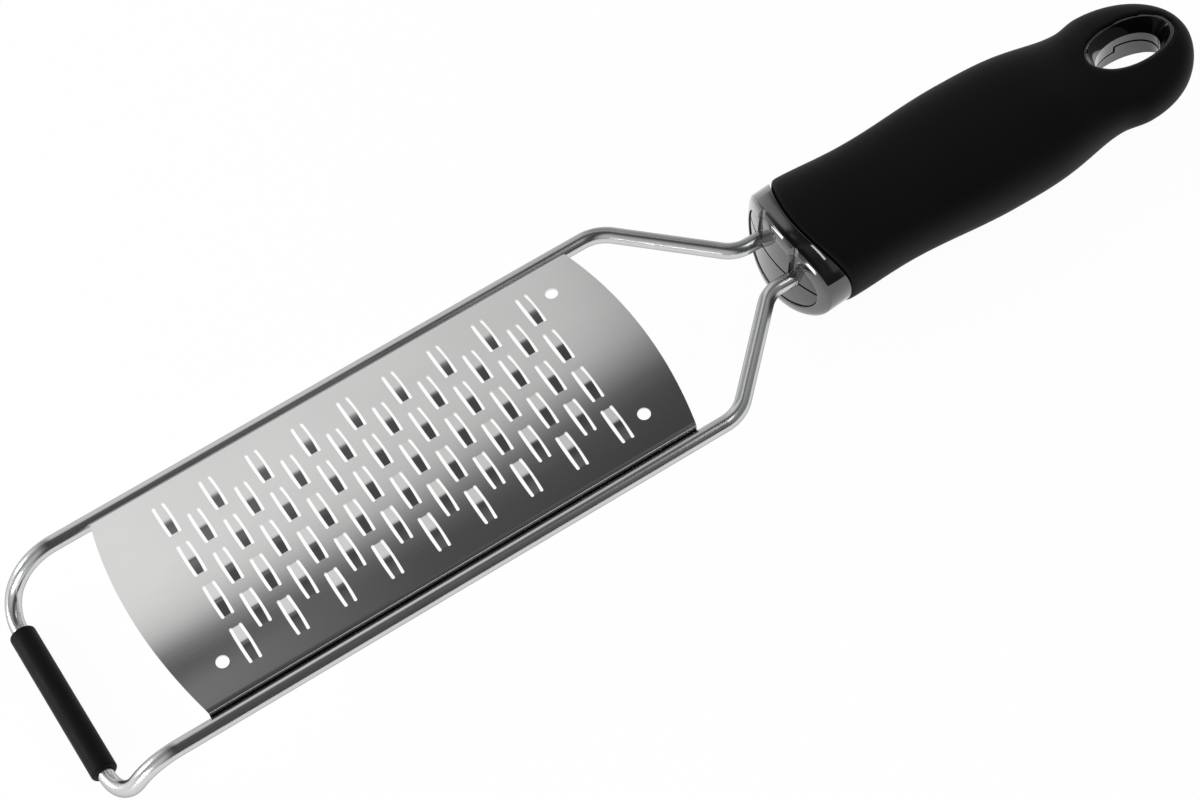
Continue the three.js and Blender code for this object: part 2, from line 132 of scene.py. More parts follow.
# Hang hole: length and width of the eyelet and its throat, the gap between the core halves and their tongue.
EYELET = (25.6, 14.2)
EYELET_RIM = 0.5
EYELET_INSET = 4.3
THROAT = (18.2, 11.0)
THROAT_DEPTH = 5.8
UNDERCUT = 1.3
PARTING = 0.65
HOLE_AT = GRIP_END - EYELET_INSET - EYELET[0] / 2
LIP_STEP = 0.5
TONGUE_DEPTH = 2.0
TONGUE_REACH = 9.4
TONGUE_WALL = 1.2

# Fineness of the meshes: sides round a section, steps along a bend or an edge, rows across the blade with how
# far they keep from the teeth, and the grip's even mesh.
WIRE_SIDES = 40
WIRE_STEPS = 20
SEAT_STEPS = 12
CROWN_ROWS = 41
FLANGE_STEPS = 8
ROW_STEPS = 20
ROW_MARGIN = 1
SLIT_STEPS = 16
SLIT_END_STEPS = 6
LOCATOR_SIDES = 40
SLEEVE_SIDES = 72
GROOVE_SIDES = 40
COLLAR_SIDES = 160
CORE_SIDES = 128
GRIP_SIDES = 96
ROLL_STEPS = 6
CORNER_STEPS = 4
PLATE_RINGS = 8
NOSE_STEPS = 22
GRIP_VOXEL = 0.52
GRIP_RELAX = 0.5
GRIP_PASSES = 6

# Tolerances on the flat sheet: for points that are the same, that lie on a ribbon's edge, and that lie on
# a ribbon.
SAME_POINT = 1e-6
ON_EDGE = 1e-9
ON_RIBBON = 1e-5

# Places: the wires' plane and the middle of the blade come from the blade's box, the foot from its sleeve's.
blade_low, blade_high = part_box("grater_blade")
sleeve_low, sleeve_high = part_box("foot_sleeve")
TOOL = np.array([(blade_low.x + blade_high.x) / 2, 0, blade_low.z + FLANGE_BELOW * MM])
SIDE_Y = FRAME_WIDTH / 2 - WIRE_RADIUS
FOOT_Y = FOOT_WIDTH / 2 - WIRE_RADIUS
TANG_Y = TANG_SPACING / 2
SHOULDER_X = BLADE_LENGTH / 2 + SHOULDER_SETBACK
NECK_X = SHOULDER_X + NECK_REACH
FOLD_X = -BLADE_LENGTH / 2 - FOLD_SETBACK
FOOT_X = FOLD_X - FOOT_REACH
FOOT_Z = ((sleeve_low.z + sleeve_high.z) / 2 - TOOL[2]) / MM
HANDLE_TURN = np.array(Matrix.Rotation(DROOP, 3, "Y"))


def in_tool(points):
    """Points set out from the middle of the blade, in the plane of the wires."""
    return np.asarray(points, float) * MM + TOOL


def in_handle(points):
    """Points set out from the neck along the drooping handle."""
    turned = np.asarray(points, float) @ HANDLE_TURN.T
    return in_tool(turned + np.array([NECK_X, 0, 0]))


# Mesh making.
def new_object(name, points, faces):
    mesh = bpy.data.meshes.new(name)
    mesh.from_pydata([tuple(p) for p in points], [], faces)
    shape = bmesh.new()
    shape.from_mesh(mesh)
    bmesh.ops.recalc_face_normals(shape, faces=shape.faces)
    shape.to_mesh(mesh)
    shape.free()
    piece = bpy.data.objects.new(name, mesh)
    bpy.context.scene.collection.objects.link(piece)
    return piece


def loft_faces(count, sides, closed):
    faces = []
    for ring in range(count if closed else count - 1):
        after = (ring + 1) % count
        for j in range(sides):
            k = (j + 1) % sides
            faces.append((ring * sides + j, ring * sides + k, after * sides + k, after * sides + j))
    return faces


def loft(name, rings, place):
    """A closed skin through rings, with a fan of triangles over each end."""
    sides = len(rings[0])
    points = [p for ring in rings for p in ring]
    faces = loft_faces(len(rings), sides, False)
    for ring in (0, len(rings) - 1):
        middle = len(points)
        points.append(np.mean(rings[ring], axis=0))
        for j in range(sides):
            faces.append((middle, ring * sides + j, ring * sides + (j + 1) % sides))
    return new_object(name, place(points), faces)


def closed_loft(name, rings, place):
    """A ring-shaped skin: the last ring joins the first."""
    points = [p for ring in rings for p in ring]
    return new_object(name, place(points), loft_faces(len(rings), len(rings[0]), True))


def bake(piece):
    graph = bpy.context.evaluated_depsgraph_get()
    mesh = bpy.data.meshes.new_from_object(piece.evaluated_get(graph))
    piece.modifiers.clear()
    piece.data = mesh


def combine(piece, other, operation):
    """Joins, cuts or crosses a piece with another, which is used up."""
    step = piece.modifiers.new("combine", "BOOLEAN")
    step.operation = operation
    step.solver = "MANIFOLD"
    step.object = other
    bake(piece)
    bpy.data.objects.remove(other)


def copy_of(piece, name):
    twin = bpy.data.objects.new(name, piece.data.copy())
    bpy.context.scene.collection.objects.link(twin)
    return twin


def smooth(piece, degrees):
    """Shades a piece smooth, apart from edges sharper than an angle."""
    piece.data.shade_smooth()
    piece.data.set_sharp_from_angle(angle=math.radians(degrees))


def finish_piece(piece, material, node):
    piece.data.materials.clear()
    piece.data.materials.append(material)
    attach(piece, "root")
    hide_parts(node)


# Outlines.
def unit(vector):
    return vector / np.linalg.norm(vector)


def quarter(steps):
    """The sine and cosine at each step of a quarter turn."""
    turns = [math.pi / 2 * i / steps for i in range(steps + 1)]
    return [(math.sin(angle), math.cos(angle)) for angle in turns]


def circle(sides):
    angle = np.arange(sides) * 2 * math.pi / sides
    return np.cos(angle), np.sin(angle)


def power_oval(width, height, sides, power):
    angle = (np.arange(sides) + 0.5) * 2 * math.pi / sides
    across = np.sign(np.cos(angle)) * np.abs(np.cos(angle)) ** (2 / power)
    up = np.sign(np.sin(angle)) * np.abs(np.sin(angle)) ** (2 / power)
    return across * width / 2, up * height / 2


def section_ring(at, width, height, sweep, sides, power):
    y, z = power_oval(width, height, sides, power)
    return np.column_stack([at + sweep * (y / (FRONT[1] / 2)) ** 2, y, z])


# Wire frame.
def wire_path(steps):
    """The wire's middle line from hook to hook, with each bend in a number of steps."""
    along = np.array([math.cos(DROOP), 0, -math.sin(DROOP)])

    def half(side):
        neck = np.array([NECK_X, side * TANG_Y, 0])
        hook = neck + along * TANG_LENGTH
        return [
            hook + np.array([0, side * HOOK_LENGTH, 0]),
            hook,
            neck,
            np.array([SHOULDER_X, side * SIDE_Y, 0]),
            np.array([FOLD_X, side * SIDE_Y, 0]),
            np.array([FOOT_X, side * FOOT_Y, FOOT_Z]),
        ]

    corners = half(-1) + half(1)[::-1]
    radii = BEND_RADII + BEND_RADII[::-1]
    places = [corners[0]]
    for i in range(1, len(corners) - 1):
        before = unit(corners[i] - corners[i - 1])
        after = unit(corners[i + 1] - corners[i])
        turn = math.acos(before @ after)
        inward = unit(after - before * math.cos(turn))
        radius = radii[i - 1]
        start = corners[i] - before * radius * math.tan(turn / 2)
        for step in range(steps + 1):
            angle = turn * step / steps
            onward = start + before * radius * math.sin(angle)
            places.append(onward + inward * radius * (1 - math.cos(angle)))
    places.append(corners[-1])
    return np.array(places)


def tube(name, path, radius, sides):
    tangents = np.gradient(path, axis=0)
    tangents /= np.linalg.norm(tangents, axis=1)[:, None]
    tangents[0] = unit(path[1] - path[0])
    tangents[-1] = unit(path[-1] - path[-2])
    across = np.array([0.0, 0.0, 1.0])
    cosines, sines = circle(sides)
    rings = []
    for place, tangent in zip(path, tangents):
        across = unit(across - tangent * (across @ tangent))
        other = np.cross(tangent, across)
        rings.append(place + radius * (np.outer(cosines, across) + np.outer(sines, other)))
    return loft(name, rings, in_tool)


# Blade: an arched sheet that turns down into a flange along each wire. The sheet is laid out flat, in x along
# it and s across it, and then bent.
FLANGE_Y = SIDE_Y - WIRE_RADIUS - TOUCH
CROWN_CENTRE = CROWN_HEIGHT - CROWN_RADIUS
BEND_Y = FLANGE_Y - FLANGE_BEND
BEND_Z = CROWN_CENTRE + math.sqrt((CROWN_RADIUS - FLANGE_BEND) ** 2 - BEND_Y**2)
BEND_ANGLE = math.atan2(BEND_Z - CROWN_CENTRE, BEND_Y)
CROWN_S = CROWN_RADIUS * (math.pi / 2 - BEND_ANGLE)
BEND_S = CROWN_S + FLANGE_BEND * BEND_ANGLE
FLANGE_S = BEND_S + BEND_Z + FLANGE_BELOW
BOW_RADIUS = (FLANGE_Y**2 + END_BOW**2) / (2 * END_BOW)
BOW_CENTRE = BLADE_LENGTH / 2 + END_BOW - BOW_RADIUS
ROOT = WINDOW_LENGTH / 2 - RIBBON_LAND


def sheet_at(s):
    """The sheet's outer face at a length s across it from its middle: y, z and the normal there."""
    side = 1.0 if s >= 0 else -1.0
    far = abs(s)
    if far > BEND_S:
        return side * FLANGE_Y, BEND_Z - (far - BEND_S), side, 0.0
    if far > CROWN_S:
        angle = BEND_ANGLE - (far - CROWN_S) / FLANGE_BEND
        centre_y, centre_z, radius = BEND_Y, BEND_Z, FLANGE_BEND
    else:
        angle = math.pi / 2 - far / CROWN_RADIUS
        centre_y, centre_z, radius = 0.0, CROWN_CENTRE, CROWN_RADIUS
    y = side * (centre_y + radius * math.cos(angle))
    z = centre_z + radius * math.sin(angle)
    return y, z, side * math.cos(angle), math.sin(angle)


def end_x(s):
    """How far the sheet's bowed end reaches at s across it."""
    y = sheet_at(s)[0]
    return BOW_CENTRE + math.sqrt(BOW_RADIUS**2 - y**2)


def teeth():
    """The middles of the teeth, in columns of four and three in turn."""
    places = []
    for column in range(COLUMNS):
        count = FULL_COLUMN if column % 2 == 0 else FULL_COLUMN - 1
        x = (column - (COLUMNS - 1) / 2) * COLUMN_PITCH
        for row in range(count):
            places.append((x, (row - (count - 1) / 2) * ROW_PITCH))
    return places


def half_ribbon(v):
    """Half a ribbon's width at v along it."""
    return RIBBON_END / 2 + (RIBBON_WIDTH - RIBBON_END) / 2 * (1 - (v / ROOT) ** 2)


def half_window(v):
    """Half a window's width at v along it."""
    half = WINDOW_LENGTH / 2
    return WINDOW_END / 2 + (WINDOW_WIDTH - WINDOW_END) / 2 * (1 - (v / half) ** 2)


def ribbon_height(v):
    """A ribbon's height at v along it and its slope there: straight flanks that meet in a rounded ridge."""
    full = math.hypot(ROOT, RIBBON_RIDGE) - RIBBON_RIDGE
    here = math.hypot(v, RIBBON_RIDGE)
    rise = RIBBON_RISE * (1 - (here - RIBBON_RIDGE) / full)
    return rise, -RIBBON_RISE * v / here / full


def slit_end(end):
    """The round end of a slit, at one end of its ribbon or the other."""
    middle = (RIBBON_END / 2 + half_window(ROOT)) / 2
    reach = (half_window(ROOT) - RIBBON_END / 2) / 2
    points = []
    for i in range(1, SLIT_END_STEPS):
        angle = math.pi * i / SLIT_END_STEPS
        across = middle - end * reach * math.cos(angle)
        points.append((across, end * (ROOT + RIBBON_LAND * math.sin(angle))))
    return points


def slit(x, s, side):
    """One of the two slits beside a ribbon: both edges bowed outward, with round ends."""
    up = [ROOT * (2 * i / SLIT_STEPS - 1) for i in range(SLIT_STEPS + 1)]
    down = [ROOT * (1 - 2 * i / SLIT_STEPS) for i in range(SLIT_STEPS + 1)]
    points = [(half_ribbon(v), v) for v in up]
    points += slit_end(1)
    points += [(half_window(v), v) for v in down]
    points += slit_end(-1)
    loop = [(x + side * across, s + v) for across, v in points]
    return loop[::-1] if side > 0 else loop


def on_edge(across, v):
    """Whether a point of a slit lies on the edge of its ribbon."""
    return abs(v) < ROOT + ON_EDGE and abs(abs(across) - half_ribbon(v)) < ON_EDGE


def blade_outline():
    """The flat sheet's points, lines along its sides that its mesh follows, and its outline."""
    crown = list(np.linspace(-CROWN_S, CROWN_S, CROWN_ROWS))
    bend = [CROWN_S + (BEND_S - CROWN_S) * i / FLANGE_STEPS for i in range(1, FLANGE_STEPS + 1)]
    flange = [*bend, FLANGE_S]
    rows = [-s for s in flange[::-1]] + crown + flange
    points = [(end_x(s), s) for s in rows] + [(-end_x(s), s) for s in rows]
    right = list(range(len(rows)))
    left = list(range(len(rows), 2 * len(rows)))
    lines = []
    clear = ROW_PITCH * (FULL_COLUMN - 1) / 2 + WINDOW_LENGTH / 2 + ROW_MARGIN
    for k, s in enumerate(rows):
        if abs(s) > clear and 0 < k < len(rows) - 1:
            first = len(points)
            for i in range(1, ROW_STEPS):
                points.append((end_x(s) * (2 * i / ROW_STEPS - 1), s))
            line = [left[k], *range(first, len(points)), right[k]]
            lines.extend(zip(line[:-1], line[1:]))
    return points, lines, right + left[::-1]


def add_teeth(points, lines, loops):
    """Adds each tooth's two slits, and lines across its ribbon from edge to edge."""
    for x, s in teeth():
        edges = []
        for side in (-1, 1):
            first = len(points)
            loop = slit(x, s, side)
            points.extend(loop)
            loops.append(list(range(first, len(points))))
            on_ribbon = [first + i for i, p in enumerate(loop) if on_edge(p[0] - x, p[1] - s)]
            edges.append(sorted(on_ribbon, key=lambda i: points[i][1]))
        lines.extend(zip(*edges))


def add_locators(points, loops):
    """Adds the three locating holes: two at the handle end and one at the foot end."""
    for along, across in ((1, 1), (1, -1), (-1, -1)):
        first = len(points)
        x = along * (BLADE_LENGTH / 2 - LOCATOR_INSET)
        s = across * LOCATOR_SPACING / 2
        for i in range(LOCATOR_SIDES):
            angle = 2 * math.pi * i / LOCATOR_SIDES
            points.append((x + LOCATOR_RADIUS * math.cos(angle), s + LOCATOR_RADIUS * math.sin(angle)))
        loops.append(list(range(first, len(points))))


def ribbon_at(x, s, places):
    """Where the middle of the ribbon is that a point of the flat sheet lies on, or None."""
    for tooth_x, tooth_s in places:
        v = s - tooth_s
        if abs(v) <= ROOT + ON_RIBBON and abs(x - tooth_x) <= half_ribbon(v) + ON_RIBBON:
            return tooth_s
    return None


def bent_sheet(flat, places):
    """The bent sheet's upper and lower points, and the normals of the sheet and of its ribbons."""
    top = []
    under = []
    normals = []
    strips = []
    for x, s in flat:
        y, z, ny, nz = sheet_at(s)
        middle = ribbon_at(x, s, places)
        rise = 0.0
        slope = 0.0
        if middle is not None:
            rise, slope = ribbon_height(s - middle)
        top.append((x, y + ny * rise, z + nz * rise))
        under.append((x, y + ny * (rise - SHEET), z + nz * (rise - SHEET)))
        normals.append((0.0, ny, nz))
        strips.append(tuple(unit(np.array([0.0, ny - slope * nz, nz + slope * ny]))))
    return top, under, normals, strips


def blade_piece():
    points, lines, outline = blade_outline()
    loops = [outline]
    add_teeth(points, lines, loops)
    add_locators(points, loops)
    corners = [Vector(p) for p in points]
    flat, _, triangles, _, _, sources = geometry.delaunay_2d_cdt(corners, lines, loops, 1, SAME_POINT)
    # A triangle inside the outline alone is steel; one inside a slit or hole as well is open.
    kept = [triangle for triangle, source in zip(triangles, sources) if set(source) == {0}]
    places = teeth()
    top, under, normals, strips = bent_sheet(flat, places)
    count = len(top)
    faces = []
    loop_normals = []
    borders = {}
    for a, b, c in kept:
        middle = (flat[a] + flat[b] + flat[c]) / 3
        source = strips if ribbon_at(middle.x, middle.y, places) is not None else normals
        faces.append((a, b, c))
        loop_normals.extend(source[i] for i in (a, b, c))
        faces.append((count + a, count + c, count + b))
        loop_normals.extend(tuple(-n for n in source[i]) for i in (a, c, b))
        # An edge that two triangles share is no border.
        for edge in ((a, b), (b, c), (c, a)):
            if edge[::-1] in borders:
                del borders[edge[::-1]]
            else:
                borders[edge] = True
    corners = np.array(top + under)
    for a, b in borders:
        faces.append((b, a, count + a, count + b))
        normal = unit(np.cross(corners[a] - corners[b], corners[count + a] - corners[a]))
        loop_normals.extend([tuple(normal)] * 4)
    mesh = bpy.data.meshes.new("blade")
    mesh.from_pydata([tuple(p) for p in in_tool(corners)], [], faces)
    mesh.shade_smooth()
    mesh.normals_split_custom_set(loop_normals)
    piece = bpy.data.objects.new("blade", mesh)
    bpy.context.scene.collection.objects.link(piece)
    return piece


# Foot sleeve: a tube round the foot bar with rolled ends.
def sleeve_piece():
    half = SLEEVE_LENGTH / 2
    profile = [(WIRE_RADIUS + SLEEVE_SLACK, half)]
    for sine, cosine in quarter(ROLL_STEPS):
        radius = SLEEVE_RADIUS - SLEEVE_ROLL + SLEEVE_ROLL * sine
        profile.append((radius, half - SLEEVE_ROLL + SLEEVE_ROLL * cosine))
    profile = [(radius, -y) for radius, y in profile] + profile[::-1]
    cosines, sines = circle(SLEEVE_SIDES)
    rings = []
    for radius, y in profile:
        across = FOOT_X + radius * cosines
        rings.append(np.column_stack([across, np.full(SLEEVE_SIDES, y), FOOT_Z + radius * sines]))
    return closed_loft("sleeve", rings, in_tool)


# Handle sections.
def grip_span(first, last, steps, fullness):
    """Sections that ease from one to another. A higher fullness holds the first one's size for longer."""
    sections = []
    for i in range(1, steps + 1):
        along = i / steps
        blend = 0.5 - 0.5 * math.cos(math.pi * along**fullness)
        shares = (along, blend, blend, along)
        sections.append(tuple(a + (b - a) * share for a, b, share in zip(first, last, shares)))
    return sections


def grip_body():
    return (
        [FRONT]
        + grip_span(FRONT, WAIST, steps=14, fullness=1)
        + grip_span(WAIST, BELLY, steps=20, fullness=1)
        + grip_span(BELLY, NECK, steps=24, fullness=1.7)
        + grip_span(NECK, BULB, steps=10, fullness=1)
    )


def grip_nose(by):
    """The rounded end of the grip, inset by a length."""
    sections = []
    for i in range(1, NOSE_STEPS):
        along = math.sin(math.pi / 2 * i / NOSE_STEPS)
        width = (BULB[1] - 2 * by) * (1 - along**2) ** 0.5
        height = (BULB[2] - 2 * by) * (1 - along**NOSE_POWER) ** (1 / NOSE_POWER)
        sections.append((BULB[0] + (NOSE - by) * along, width, height, 0.0))
    return sections


def inset(section, by):
    at, width, height, sweep = section
    return at, width - 2 * by, height - 2 * by, sweep


def grip_skin():
    sections = [inset(FRONT, GRIP_WALL)]
    for sine, cosine in quarter(ROLL_STEPS):
        at, width, height, sweep = inset(FRONT, GRIP_EDGE * (1 - sine))
        sections.append((at + GRIP_EDGE * (1 - cosine), width, height, sweep))
    sections += grip_body()[1:] + grip_nose(0)
    return loft("grip", [section_ring(*section, GRIP_SIDES, GRIP_POWER) for section in sections], in_handle)


# Collar. Its outer front edge is given as steps back from its front face and in from its full size: a narrow
# chamfer between two soft corners.
COLLAR_EDGE = [
    (0.40, 0.72),
    (0.42, 0.67),
    (0.45, 0.63),
    (0.49, 0.59),
    (0.70, 0.22),
    (0.74, 0.17),
    (0.79, 0.12),
    (0.87, 0.06),
    (1.05, 0.0),
]
OPENING = (COLLAR_WIDTH - 2 * COLLAR_BAND, COLLAR_HEIGHT - 2 * COLLAR_BAND)


def front_at(y, z):
    """Where the slanted front face, which sweeps back at its sides, lies along the handle."""
    return COLLAR_REACH + z * COLLAR_SLANT + COLLAR_SWEEP * (y / (COLLAR_WIDTH / 2)) ** 2


def leaning(behind, width, height, sides):
    """An oval that follows the front face, some way behind it."""
    y, z = power_oval(width, height, sides, CORE_POWER)
    return np.column_stack([front_at(y, z) + behind, y, z - COLLAR_DROP])


def wire_grooves():
    """Plugs for the grooves over the two wires in the front of the handle."""
    cosines, sines = circle(GROOVE_SIDES)
    rings = []
    for up in (0.0, COLLAR_HEIGHT):
        across = GROOVE_DEPTH - GROOVE_RADIUS + GROOVE_RADIUS * cosines + up * COLLAR_SLANT
        rings.append(np.column_stack([across, GROOVE_RADIUS * sines, np.full(GROOVE_SIDES, up)]))
    grooves = []
    for y in (-TANG_Y, TANG_Y):
        moved = [ring + np.array([front_at(y, COLLAR_DROP), y, 0]) for ring in rings]
        grooves.append(loft("groove", moved, in_handle))
    return grooves


def collar_piece():
    rings = []
    for sine, cosine in quarter(CORNER_STEPS):
        grow = 2 * COLLAR_LIP * (1 - cosine)
        rings.append(leaning(COLLAR_LIP * (1 - sine), OPENING[0] + grow, OPENING[1] + grow, COLLAR_SIDES))
    for behind, step in COLLAR_EDGE:
        rings.append(leaning(behind, COLLAR_WIDTH - 2 * step, COLLAR_HEIGHT - 2 * step, COLLAR_SIDES))
    for sine, cosine in quarter(CORNER_STEPS):
        at = COLLAR_REAR - COLLAR_LIP * (1 - sine)
        step = COLLAR_LIP * (1 - cosine)
        size = (COLLAR_WIDTH - 2 * step, COLLAR_HEIGHT - 2 * step)
        rings.append(section_ring(at, *size, FRONT_SWEEP, COLLAR_SIDES, CORE_POWER))
    rings.append(section_ring(COLLAR_REAR, *OPENING, FRONT_SWEEP, COLLAR_SIDES, CORE_POWER))
    piece = closed_loft("collar_ring", rings, in_handle)
    for groove in wire_grooves():
        combine(piece, groove, "DIFFERENCE")
    return piece


# Core and hang hole.
def core_skin(margin):
    """The core's skin, grown by a margin behind the collar: crowned front plate, its edge, body and nose."""
    plate = (OPENING[0] - 3 * TOUCH, OPENING[1] - 3 * TOUCH)
    rings = []
    for i in range(1, PLATE_RINGS + 1):
        share = i / PLATE_RINGS * (1 - 2 * PLATE_EDGE / plate[1])
        behind = PLATE_RECESS - PLATE_CROWN * (1 - share**2)
        rings.append(leaning(behind, plate[0] * share, plate[1] * share, CORE_SIDES))
    for sine, cosine in quarter(CORNER_STEPS)[1:]:
        shrink = 2 * PLATE_EDGE * (1 - sine)
        behind = PLATE_RECESS + PLATE_EDGE * (1 - cosine)
        rings.append(leaning(behind, plate[0] - shrink, plate[1] - shrink, CORE_SIDES))
    wall = GRIP_WALL - margin
    shoulder = (COLLAR_REAR + SEAM, *FRONT[1:])
    # The core needs fewer sections than the grip over it.
    body = [section for section in grip_body()[::4] if section[0] < BULB[0]]
    sections = [(COLLAR_REAR + SEAM / 2, *plate, FRONT_SWEEP)]
    sections += [inset(section, wall) for section in [shoulder, *body]]
    sections += grip_nose(wall)[::2]
    rings += [section_ring(*section, CORE_SIDES, CORE_POWER) for section in sections]
    return loft("core", rings, in_handle)


def hole_plug(name, levels):
    """An upright plug at the hang hole, through ellipses given as height, length and width."""
    rings = []
    for at, length, width in levels:
        x, y = power_oval(length, width, CORE_SIDES, 2)
        rings.append(np.column_stack([x + HOLE_AT, y, np.full(CORE_SIDES, at)]))
    return loft(name, rings, in_handle)


def eyelet_bore():
    """The hole itself: a funnel, a straight throat and a short flare underneath."""
    rim = (EYELET[0] - 2 * EYELET_RIM, EYELET[1] - 2 * EYELET_RIM)
    crest = BULB[2] / 2 - LIP_STEP
    half = THROAT_DEPTH / 2
    levels = [
        (-2 * crest, *rim),
        (-half - UNDERCUT, *rim),
        (-half, *THROAT),
        (half, *THROAT),
        (crest, *rim),
        (2 * crest, *rim),
    ]
    return hole_plug("bore", levels)


def eyelet():
    post = hole_plug("eyelet", [(-BULB[2], *EYELET), (BULB[2], *EYELET)])
    combine(post, core_skin(GRIP_WALL - LIP_STEP), "INTERSECT")
    return post


def lip_bore():
    size = (EYELET[0] + SEAM, EYELET[1] + SEAM)
    return hole_plug("lip", [(-BULB[2], *size), (BULB[2], *size)])


def block(name, low, high):
    sides = list(zip(low, high))
    corners = [(x, y, z) for x in sides[0] for y in sides[1] for z in sides[2]]
    faces = [(0, 1, 3, 2), (4, 6, 7, 5), (0, 4, 5, 1), (2, 3, 7, 6), (0, 2, 6, 4), (1, 5, 7, 3)]
    return new_object(name, in_handle(corners), faces)


# Corners of a block over the handle, and half the width of one over the eyelet.
BLOCK_LOW = (-10, -25)
BLOCK_HIGH = (160, 25, 30)
BLOCK_PAST = 20


def upper_side(gap):
    """All that lies above the parting line, with the tongue that dips below it at the hang hole."""
    # Both blocks reach well past what they cut.
    half = block("upper_side", (BLOCK_LOW[0], BLOCK_LOW[1], gap / 2), BLOCK_HIGH)
    size = (EYELET[0] - 2 * TONGUE_WALL - gap, EYELET[1] - 2 * TONGUE_WALL - gap)
    tongue = hole_plug("tongue", [(gap / 2 - TONGUE_DEPTH, *size), (TONGUE_DEPTH, *size)])
    end = HOLE_AT - THROAT[0] / 2 + TONGUE_REACH - gap / 2
    past = BLOCK_PAST
    grip_side = block("grip_side", (HOLE_AT - 2 * past, -past, -past), (end, past, past))
    combine(tongue, grip_side, "INTERSECT")
    combine(half, tongue, "UNION")
    return half


def core_pieces():
    body = core_skin(0)
    combine(body, eyelet(), "UNION")
    combine(body, eyelet_bore(), "DIFFERENCE")
    combine(body, tube("seat", wire_path(SEAT_STEPS), WIRE_RADIUS + TOUCH, WIRE_SIDES), "DIFFERENCE")
    upper = copy_of(body, "core_top")
    lower = body
    lower.name = "core_base"
    combine(upper, upper_side(PARTING), "INTERSECT")
    for groove in wire_grooves():
        combine(upper, groove, "DIFFERENCE")
    combine(lower, upper_side(-PARTING), "DIFFERENCE")
    return upper, lower


def grip_piece():
    piece = grip_skin()
    combine(piece, core_skin(SEAM), "DIFFERENCE")
    combine(piece, lip_bore(), "DIFFERENCE")
    remesh = piece.modifiers.new("even", "REMESH")
    remesh.mode = "VOXEL"
    remesh.voxel_size = GRIP_VOXEL * MM
    remesh.use_smooth_shade = True
    relax = piece.modifiers.new("relax", "SMOOTH")
    relax.factor = GRIP_RELAX
    relax.iterations = GRIP_PASSES
    bake(piece)
    piece.data.shade_smooth()
    return piece


# Materials. Most of a noise's values lie between these two.
NOISE_LOW = 0.3
NOISE_HIGH = 0.7


class Nodes:
    """Short calls for building one material's or the world's node tree."""

    def __init__(self, owner):
        owner.use_nodes = True
        self.tree = owner.node_tree
        self.tree.nodes.clear()

    def add(self, kind, **settings):
        node = self.tree.nodes.new(kind)
        for key, value in settings.items():
            setattr(node, key, value)
        return node

    def link(self, source, target):
        self.tree.links.new(source, target)

    def calculate(self, operation, a, b):
        node = self.add("ShaderNodeMath", operation=operation)
        for socket, value in zip(node.inputs, (a, b)):
            if isinstance(value, bpy.types.NodeSocket):
                self.link(value, socket)
            else:
                socket.default_value = value
        return node.outputs[0]

    def noise(self, scale, detail, stretch=(1, 1, 1)):
        place = self.add("ShaderNodeTexCoord")
        mapping = self.add("ShaderNodeMapping")
        mapping.inputs["Scale"].default_value = stretch
        texture = self.add("ShaderNodeTexNoise")
        texture.inputs["Scale"].default_value = scale
        texture.inputs["Detail"].default_value = detail
        self.link(place.outputs["Object"], mapping.inputs["Vector"])
        self.link(mapping.outputs["Vector"], texture.inputs["Vector"])
        return texture.outputs["Fac"]

    def spread(self, value, low, high, start=NOISE_LOW, stop=NOISE_HIGH):
        node = self.add("ShaderNodeMapRange")
        node.inputs["From Min"].default_value = start
        node.inputs["From Max"].default_value = stop
        node.inputs["To Min"].default_value = low
        node.inputs["To Max"].default_value = high
        self.link(value, node.inputs["Value"])
        return node.outputs["Result"]

    def ramp(self, value, stops):
        node = self.add("ShaderNodeValToRGB")
        elements = node.color_ramp.elements
        while len(elements) < len(stops):
            elements.new(0.5)
        for element, (at, colour) in zip(elements, stops):
            element.position = at
            element.color = (*colour, 1)
        self.link(value, node.inputs["Fac"])
        return node.outputs["Color"]

    def tones(self, value, dark, light):
        return self.ramp(value, [(NOISE_LOW, dark), (NOISE_HIGH, light)])

    def bump(self, height, distance, strength):
        node = self.add("ShaderNodeBump")
        node.inputs["Distance"].default_value = distance
        node.inputs["Strength"].default_value = strength
        self.link(height, node.inputs["Height"])
        return node.outputs["Normal"]


def surface(name, **values):
    material = bpy.data.materials.new(name)
    nodes = Nodes(material)
    shader = nodes.add("ShaderNodeBsdfPrincipled")
    for key, value in values.items():
        shader.inputs[key.replace("_", " ")].default_value = value
    output = nodes.add("ShaderNodeOutputMaterial")
    nodes.link(shader.outputs[0], output.inputs["Surface"])
    return material, nodes, shader


def blade_steel():
    """Bright sheet with a fine grain along it."""
    material, nodes, shader = surface("blade_steel", Metallic=1.0)
    grain = nodes.noise(scale=1.0, detail=4.0, stretch=(90, 5200, 5200))
    cloud = nodes.noise(scale=38.0, detail=2.0, stretch=(0.5, 1, 1))
    colour = nodes.tones(cloud, (0.664, 0.66, 0.656), (0.714, 0.71, 0.706))
    nodes.link(colour, shader.inputs["Base Color"])
    nodes.link(nodes.spread(grain, low=0.07, high=0.11), shader.inputs["Roughness"])
    nodes.link(nodes.bump(grain, distance=0.000002, strength=1.0), shader.inputs["Normal"])
    return material


